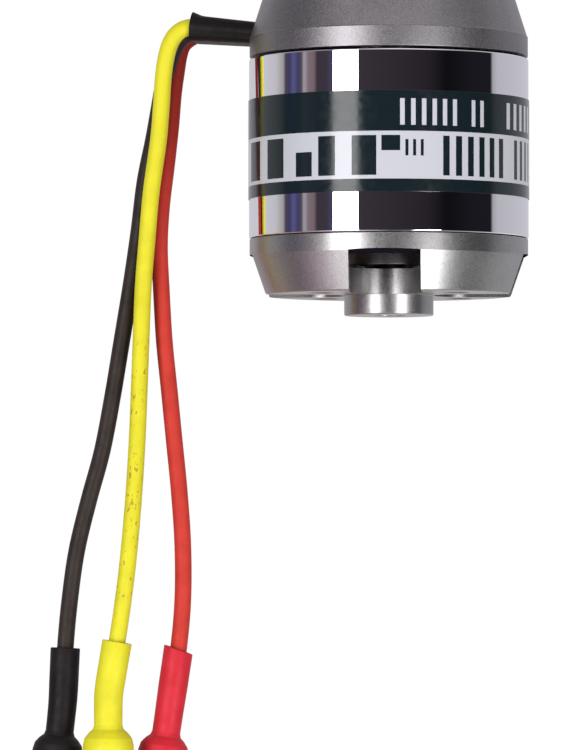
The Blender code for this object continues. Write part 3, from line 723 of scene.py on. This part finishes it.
def printed_label():
    """A printed film: a dark band, a white band and a narrow dark band, with plain bars for decoration."""
    paint = Paint("label_print", (0.8, 0.8, 0.85), 0.16)
    split = paint.node("ShaderNodeSeparateXYZ")
    paint.link(paint.place, split.inputs[0])
    span = LABEL_TOP - LABEL_BOTTOM
    height = paint.spread(split.outputs["Z"], 0.0, span, LABEL_BOTTOM * MM, LABEL_TOP * MM)
    turn = paint.node("ShaderNodeMath", operation="ARCTAN2")
    paint.link(split.outputs["X"], turn.inputs[0])
    paint.link(paint.times(split.outputs["Y"], -1.0), turn.inputs[1])
    angle = paint.times(turn.outputs[0], math.degrees(1))
    low, high = WHITE_BAND
    bands = [(0.0, INKS["dark"]), (low / span, INKS["pale"]), (high / span, INKS["dark"])]
    tone = paint.ramp(paint.times(height, 1 / span), bands, "CONSTANT")
    for (start, end), pitch, share, (low, high), ink in LABEL_BARS:
        inside = paint.times(paint.between(angle, start, end), paint.between(height, low, high))
        place = paint.node("ShaderNodeMath", operation="PINGPONG")
        place.inputs[1].default_value = pitch / 2
        paint.link(angle, place.inputs[0])
        bar = paint.between(place.outputs[0], -1.0, pitch / 2 * share)
        tone = paint.blend(paint.times(inside, bar), tone, INKS[ink])
    paint.colour_from(tone)
    paint.bump(paint.noise(500), 0.0008)
    paint.roughness_from(paint.spread(paint.noise(1500), 0.10, 0.20, 0.3, 0.7))
    paint.set("Specular IOR Level", 0.4)
    return paint.material


def coated_core():
    """The core's dark green coating over its stacked laminations."""
    paint = Paint("core_coating", (0.03, 0.10, 0.06), 0.5)
    layers = paint.node("ShaderNodeTexWave", wave_type="BANDS", bands_direction="Z", wave_profile="SIN")
    layers.inputs["Scale"].default_value = 900
    paint.link(paint.place, layers.inputs["Vector"])
    paint.bump(layers.outputs["Fac"], 0.02, 0.7)
    mottle = [(0.3, (0.018, 0.07, 0.04)), (0.7, (0.04, 0.13, 0.08))]
    paint.colour_from(paint.ramp(paint.noise(900, 3.0), mottle))
    return paint.material


def enamel():
    """Enamelled copper wire."""
    paint = Paint("enamelled_copper", (0.55, 0.20, 0.07), 0.25, 1.0)
    mottle = [(0.3, (0.42, 0.13, 0.04)), (0.7, (0.62, 0.25, 0.09))]
    paint.colour_from(paint.ramp(paint.noise(700), mottle))
    paint.roughness_from(paint.spread(paint.noise(2500), 0.18, 0.34, 0.3, 0.7))
    paint.set("Coat Weight", 0.6)
    paint.set("Coat Roughness", 0.12)
    return paint.material


def make_materials():
    return {
        "shield": blasted("shield_aluminium", (0.20, 0.19, 0.20), (0.36, 0.345, 0.36), 0.42),
        "cap": blasted("cap_aluminium", (0.29, 0.285, 0.285), (0.46, 0.45, 0.45), 0.33, 0.002),
        # painted shade for the windows' sloped tops
        "window_painted_shade": painted_shade_coat("window_top_painted_shade", (0.008, 0.006, 0.010), (0.014, 0.010, 0.018)),
        "chrome": plated("chrome", (0.90, 0.89, 0.92), 0.022, 0.0003),
        "label": printed_label(),
        "steel": ground("ground_steel", (0.62, 0.62, 0.62), 0.20),
        "black_steel": ground("black_oxide", (0.07, 0.07, 0.075), 0.38),
        "nickel": ground("nickel_plate", (0.50, 0.50, 0.48), 0.3, 4000),
        "brass": ground("brass", (0.75, 0.55, 0.22), 0.28),
        "gold": plated("gold_plate", (0.87, 0.62, 0.20), 0.16, 0.002),
        "core": coated_core(),
        "copper": enamel(),
        "sheath": shrunk_tube("sheath_tube", (0.004, 0.003, 0.003), (0.008, 0.006, 0.006), 0.5, shine=0.12),
        "yellow": shrunk_tube("yellow_lead", (0.60, 0.54, 0.016), (0.67, 0.61, 0.022), 0.5, marks=True),
        # top_painted_shade: painted shade at the upper ends of the black and red leads
        "black": shrunk_tube("black_lead", (0.018, 0.012, 0.010), (0.030, 0.021, 0.018), 0.52, top_painted_shade=0.9),
        "red": shrunk_tube("red_lead", (0.45, 0.028, 0.018), (0.53, 0.036, 0.024), 0.58, top_painted_shade=0.7),
        "yellow_sleeve": shrunk_tube("yellow_sleeve", (0.60, 0.54, 0.016), (0.68, 0.62, 0.022), 0.5),
        "black_sleeve": shrunk_tube("black_sleeve", (0.004, 0.003, 0.004), (0.010, 0.007, 0.009), 0.55),
        "red_sleeve": shrunk_tube("red_sleeve", (0.50, 0.014, 0.026), (0.58, 0.020, 0.036), 0.5),
    }


# ---------------------------------------------------------------- leads and connectors

def smooth_route(route):
    """Points, in metres, along a smooth curve through the route."""
    steps = 8
    points = [Vector([value * MM for value in point]) for point in route]
    points = [2 * points[0] - points[1], *points, 2 * points[-1] - points[-2]]
    fine = []
    for before, start, end, after in zip(points, points[1:], points[2:], points[3:]):
        for i in range(steps):
            t = i / steps
            fine.append(0.5 * (2 * start + (end - before) * t
                               + (2 * before - 5 * start + 4 * end - after) * t**2
                               + (3 * start - before - 3 * end + after) * t**3))
    return fine + [points[-2]]


def make_lead(colour, material):
    points = smooth_route(LEAD_ROUTES[colour])
    curve = bpy.data.curves.new(f"wire_{colour}", "CURVE")
    curve.dimensions = "3D"
    curve.bevel_depth = LEAD_DIAMETER / 2
    curve.bevel_resolution = 6
    curve.use_fill_caps = True
    spline = curve.splines.new("POLY")
    spline.points.add(len(points) - 1)
    for point, place in zip(spline.points, points):
        point.co = (*place, 1.0)
    spline.use_smooth = True
    curve.materials.append(material)
    wire = bpy.data.objects.new(f"wire_{colour}", curve)
    bpy.context.scene.collection.objects.link(wire)
    stand(wire, "stator", f"lead_{colour}")


def connector_frame(colour, depth):
    """The place and lean, in millimetres, of the connector's axis at a depth below its start."""
    start, neck, plug = CONNECTORS[colour]
    high, low = KNEE

    def lean(down):
        share = min(max((down - high) / (low - high), 0), 1)
        return neck + (plug - neck) * share

    place = Vector(start)
    steps = 40
    for i in range(steps):
        angle = lean(depth * (i + 0.5) / steps)
        place -= Vector((math.sin(angle), 0, math.cos(angle))) * depth / steps
    return Matrix.Translation(place) @ Matrix.Rotation(lean(depth), 4, "Y")


def make_connector(colour, material, gold):
    """The shrunk sleeve, the bullet plug in it and the plug's slotted spring."""
    loops = []
    for radius, height in eased(SLEEVE_OUTLINE, 0.07):
        frame_here = connector_frame(colour, -height)
        slant = SLANT.get(colour, 0) if height > -0.1 else 0
        loops.append([frame_here @ Vector((x, y, z - slant * x)) for x, y, z in ring(radius, 0, SMALL)])
    tube = piece(f"shrink_{colour}", [(loops, True)], material, sharp=SMOOTH)
    cup_end = -BULLET_OUTLINE[0][1]
    where = connector_frame(colour, cup_end) @ Matrix.Translation((0, 0, cup_end))
    plug = piece(f"plug_{colour}", [moved(turned(eased(BULLET_OUTLINE, 0.08), SMALL), where)], gold)
    spring = piece(f"leaf_spring_{colour}", [moved(turned(SPRING_OUTLINE, SMALL), where)], gold)
    width, bottom, top = SLIT
    slit = prism([(0.3, -width / 2), (2.2, -width / 2), (2.2, width / 2), (0.3, width / 2)], bottom, top)
    turns = [about_z(2 * math.pi * i / SPRING_SLITS) for i in range(SPRING_SLITS)]
    carve(spring, [moved(slit, where @ turn) for turn in turns])
    for made, node in ((tube, "sleeve"), (plug, "bullet"), (spring, "spring")):
        stand(made, "stator", f"{node}_{colour}")
    return [tube, plug, spring]


def exit_frame():
    """The sheath's axis as X, with Y across the row of leads."""
    level = Matrix.Translation((0, 0, EXIT_LEVEL))
    return level @ about_z(EXIT_AZIMUTH) @ Matrix.Rotation(-EXIT_TILT, 4, "Y")


def stadium(half_width, half_height, steps=10):
    straight = half_width - half_height
    right = arc(half_height, -math.pi / 2, math.pi / 2, steps)
    left = arc(half_height, math.pi / 2, 3 * math.pi / 2, steps)
    return [(x + straight, y) for x, y in right] + [(x - straight, y) for x, y in left]


def make_sheath(material):
    """The flattened tube over the leads, with a crease along each edge and a flared mouth."""
    steps = 24
    inner_steps = 6
    root, mouth = SHEATH_HALF_HEIGHTS

    def ring_at(share, inset):
        distance = SHEATH_ROOT + (SHEATH_MOUTH - SHEATH_ROOT) * share
        height = root + (mouth - root) * share - inset
        flare = max(share - FLARE_START, 0) / (1 - FLARE_START)
        outline = []
        for y, z in stadium(SHEATH_HALF_DEPTH - inset, height, 14):
            depth = PINCH * (1 - inset) * math.exp(-((z - PINCH_LEVEL) / PINCH_WIDTH) ** 2)
            y -= math.copysign(depth, y)
            z += FLARE * flare**2 * max(z, 0) / height
            outline.append((y, z))
        return section(outline, distance)

    loops = [ring_at(i / steps, 0.0) for i in range(steps + 1)]
    loops += [ring_at(1 - i / inner_steps, SHEATH_WALL) for i in range(inner_steps + 1)]
    made = piece("exit_sheath", [moved((loops, True), exit_frame())], material, sharp=50)
    stand(made, "stator", "lead_sheath")


# ---------------------------------------------------------------- motor

def tapped_hole(inner, face, azimuth, distance):
    """The space of an M3 hole from inside the part to its countersunk mouth at a face."""
    out = math.copysign(1, face - inner)
    below = face - COUNTERSINK_DEPTH * out
    over = face + CLEAR * out
    outline = [(0, inner), (M3_TAP, inner), (M3_TAP, below), (M3_TAP + COUNTERSINK, over), (0, over)]
    return moved(turned(outline, SMALL), about_z(azimuth) @ Matrix.Translation((distance, 0, 0)))


def make_shield(material):
    """The cone and its band, the face plate with four tapped holes, the bearing tube and the leads' slot."""
    outline = [
        (BEARING_SEAT, 0.0), (FACE_RADIUS, 0.0), (CONE_RADIUS, CONE_BASE),
        (BAND_RADIUS, CONE_BASE - BAND_STEP), (BAND_RADIUS, SHIELD_BOTTOM), *SHIELD_INSIDE,
        (TUBE_SHOULDER, -PLATE), (TUBE_SHOULDER, CORE_TOP + GAP), (TUBE_RADIUS, CORE_TOP + GAP),
        (TUBE_RADIUS, TUBE_BOTTOM), (BEARING_SEAT, TUBE_BOTTOM), (BEARING_SEAT, TUBE_BOTTOM + BEARING_DEPTH),
        (TUBE_BORE, TUBE_BOTTOM + BEARING_DEPTH), (TUBE_BORE, -BEARING_DEPTH), (BEARING_SEAT, -BEARING_DEPTH),
    ]
    own = {(FACE_RADIUS, 0.0): (FACE_EDGE, 8)}
    shield = piece("shield", [turned(eased(outline, BAND_EDGE, own=own))], material)
    carve(shield, [tapped_hole(-PLATE - 1, 0.0, i * math.pi / 2, HOLE_CIRCLES[i % 2]) for i in range(4)])
    slot = stadium(SHEATH_HALF_DEPTH + SLOT_GAP, SHEATH_HALF_HEIGHTS[0] + SLOT_GAP)
    carve(shield, [moved(([section(slot, distance) for distance in SLOT_REACH], False), exit_frame())])
    stand(shield, "stator", "front_shield")


def make_ring(material):
    bore = RING_RADIUS - RING_WALL
    outline = [(bore, RING_BOTTOM), (RING_RADIUS, RING_BOTTOM), (RING_RADIUS, RING_TOP), (bore, RING_TOP)]
    made = piece("chromed_ring", [turned(eased(outline, RING_EDGE, 4), 2 * FINE)], material, sharp=SMOOTH)
    stand(made, "rotor", "flux_ring")


def make_label(material):
    inner = RING_RADIUS + LABEL_GAP
    outline = [
        (inner, LABEL_BOTTOM), (LABEL_RADIUS, LABEL_BOTTOM),
        (LABEL_RADIUS, LABEL_TOP), (inner, LABEL_TOP),
    ]
    made = piece("label", [turned(eased(outline, LABEL_EDGE), 2 * FINE)], material, sharp=SMOOTH)
    stand(made, "rotor", "label_film")


def grub_hole(level, azimuth, end):
    """The space of a grub screw's hole, from the shaft's surface out to a distance from the axis."""
    start = SHAFT_RADIUS - CLEAR
    upright = turned([(0, start), (GRUB_RADIUS, start), (GRUB_RADIUS, end), (0, end)], 48)
    place = Matrix.Translation((0, 0, level)) @ about_z(azimuth)
    return moved(upright, place @ Matrix.Rotation(math.pi / 2, 4, "Y"))


def window():
    """The space of a window: round at its inner end, and open to the side."""
    steps = 24
    centre = BOSS_RADIUS + WINDOW_HALF
    angles = [(i + 0.5) * math.pi / 2 / steps for i in range(steps)]
    stations = [(centre - WINDOW_HALF * math.cos(a), WINDOW_HALF * math.sin(a), WINDOW_TOP) for a in angles]
    stations += [(x, WINDOW_HALF, z) for x, z in ((centre, WINDOW_TOP), *WINDOW_SLOPE)]
    floor = CAP_FACE - 1
    return [[(x, y, floor), (x, -y, floor), (x, -y, top), (x, y, top)] for x, y, top in stations], False


def make_cap(material, window_shade_material):
    """The rear cap with its four windows, tapped holes, grub screw holes and boss."""
    spigot = RING_RADIUS - RING_WALL - GAP
    bore = SHAFT_RADIUS + GAP
    top, foot = CAP_TAPER_RADII
    outline = [
        (SPIGOT_BORE, SPIGOT_TOP), (spigot, SPIGOT_TOP), (spigot, CAP_TOP), (BAND_RADIUS, CAP_TOP),
        (BAND_RADIUS, CAP_BAND_BOTTOM + BAND_STEP), (top, CAP_BAND_BOTTOM), (foot, CAP_FACE),
        (BOSS_RADIUS, CAP_FACE), (BOSS_RADIUS, BOSS_END), (bore, BOSS_END), (bore, WEB_TOP),
        (WEB_FILLET, WEB_TOP), (SPIGOT_BORE, WEB_TOP + SPIGOT_BORE - WEB_FILLET),
    ]
    own = {
        (foot, CAP_FACE): (CAP_FACE_EDGE, 3),
        (BOSS_RADIUS, BOSS_END): (BOSS_EDGE, 3),
        (bore, BOSS_END): (BOSS_EDGE, 3),
    }
    cap = piece("end_cap", [turned(eased(outline, steps=3, own=own))], material)
    carve(cap, [moved(window(), about_z(i * math.pi / 2)) for i in range(4)])
    carve(cap, [tapped_hole(WEB_TOP + 1, CAP_FACE, (i + 0.5) * math.pi / 2, REAR_HOLES) for i in range(4)])
    for i in range(2):
        carve(cap, [grub_hole(GRUB_LEVEL, i * math.pi / 2, BOSS_RADIUS + 2)])
    # painted shade: the windows' sloped tops lie in shadow, so they get the dark material
    cap.data.materials.append(window_shade_material)
    for face in cap.data.polygons:
        faces_down = face.normal.z < -0.5
        if faces_down and WEB_TOP * MM < face.center.z < WINDOW_SLOPE[1][1] * MM:
            face.material_index = 1  # the sloped top of a window
    cap.rotation_euler = (0, 0, PATTERN_TURN)
    bpy.context.view_layer.update()
    stand(cap, "rotor", "bell_end_cap")


def make_shaft(material):
    outline = [(0, SHAFT_BOTTOM), (SHAFT_RADIUS, SHAFT_BOTTOM), (SHAFT_RADIUS, SHAFT_TOP), (0, SHAFT_TOP)]
    made = piece("motor_shaft", [turned(eased(outline, SHAFT_EDGE, 4), SMALL)], material)
    stand(made, "rotor", "shaft")


def make_collar(material):
    bore = SHAFT_RADIUS + COLLAR_GAP
    outline = [
        (bore, COLLAR_BOTTOM), (COLLAR_RADIUS, COLLAR_BOTTOM),
        (COLLAR_RADIUS, COLLAR_TOP), (bore, COLLAR_TOP),
    ]
    collar = piece("collar", [turned(eased(outline, COLLAR_EDGE, 3), 2 * SMALL)], material)
    carve(collar, [grub_hole((COLLAR_BOTTOM + COLLAR_TOP) / 2, PATTERN_TURN, COLLAR_RADIUS + 1)])
    stand(collar, "rotor", "shaft_collar")


def wire_turn(distance, side, crown):
    """A rounded rectangle of wire across the X axis, with the half sizes of its middle line."""
    corner = min(side - 0.1, COIL_CORNER)
    path = []
    for quarter, (x, y) in enumerate(((1, 1), (-1, 1), (-1, -1), (1, -1))):
        start = quarter * math.pi / 2
        path += [(x * (side - corner) + dx, y * (crown - corner) + dy)
                 for dx, dy in arc(corner, start, start + math.pi / 2, 5)]
    loops = []
    for out, along in arc(COIL_WIRE, 0, 2 * math.pi, 8)[:-1]:
        wider, taller = 1 + out / side, 1 + out / crown
        loops.append([(distance + along, y * wider, z * taller) for y, z in path])
    return loops, True


def make_windings(material):
    """Each coil as stacked turns of round wire about its tooth."""
    pitch = 2 * math.pi / TEETH
    middle = (CORE_TOP + CORE_BOTTOM) / 2
    core_half = (CORE_TOP - CORE_BOTTOM) / 2 + GAP
    shapes = []
    for turn in range(COIL_TURNS):
        share = turn / (COIL_TURNS - 1)
        distance = COIL_START + COIL_WIRE + (COIL_LENGTH - 2 * COIL_WIRE) * share
        side = distance * math.sin(pitch / 2) - COIL_GAP - COIL_WIRE
        crown = core_half + COIL_CROWN + COIL_BULGE * math.sin(math.pi * share) - COIL_WIRE
        shapes.append(wire_turn(distance, side, crown))
    for tooth in range(TEETH):
        made = piece(f"winding_{tooth + 1:02}", shapes, material, sharp=SMOOTH)
        made.location = (0, 0, middle * MM)
        made.rotation_euler = (0, 0, tooth * pitch)
        bpy.context.view_layer.update()
        stand(made, "stator", f"coil_{tooth + 1:02}")


def paint_nodes(paints):
    """Materials for the CAD nodes that stay."""
    kept = {
        "core": ["stator_core"],
        "steel": ["front_bearing_outer", "rear_bearing_outer", "front_bearing_inner", "rear_bearing_inner"],
        "brass": ["front_bearing_cage", "rear_bearing_cage", "front_washer"],
        "black_steel": ["collar_screw", "grub_screw_1", "grub_screw_2", "rear_washer"],
        "nickel": [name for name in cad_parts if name.startswith("magnet_")],
    }
    for paint, names in kept.items():
        for name in names:
            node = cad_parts[name]
            node.data.materials.clear()
            node.data.materials.append(paints[paint])


def main():
    make_camera()
    paints = make_materials()
    for colour in LEAD_ROUTES:
        fittings = make_connector(colour, paints[f"{colour}_sleeve"], paints["gold"])
        make_lead(colour, paints[colour])
    make_sheath(paints["sheath"])
    make_shield(paints["shield"])
    make_ring(paints["chrome"])
    make_label(paints["label"])
    make_cap(paints["cap"], paints["window_painted_shade"])
    make_shaft(paints["steel"])
    make_collar(paints["black_steel"])
    make_windings(paints["copper"])
    paint_nodes(paints)
    make_world()
    make_floor()
    for light in LIGHTS:
        area_light(*light)


main()
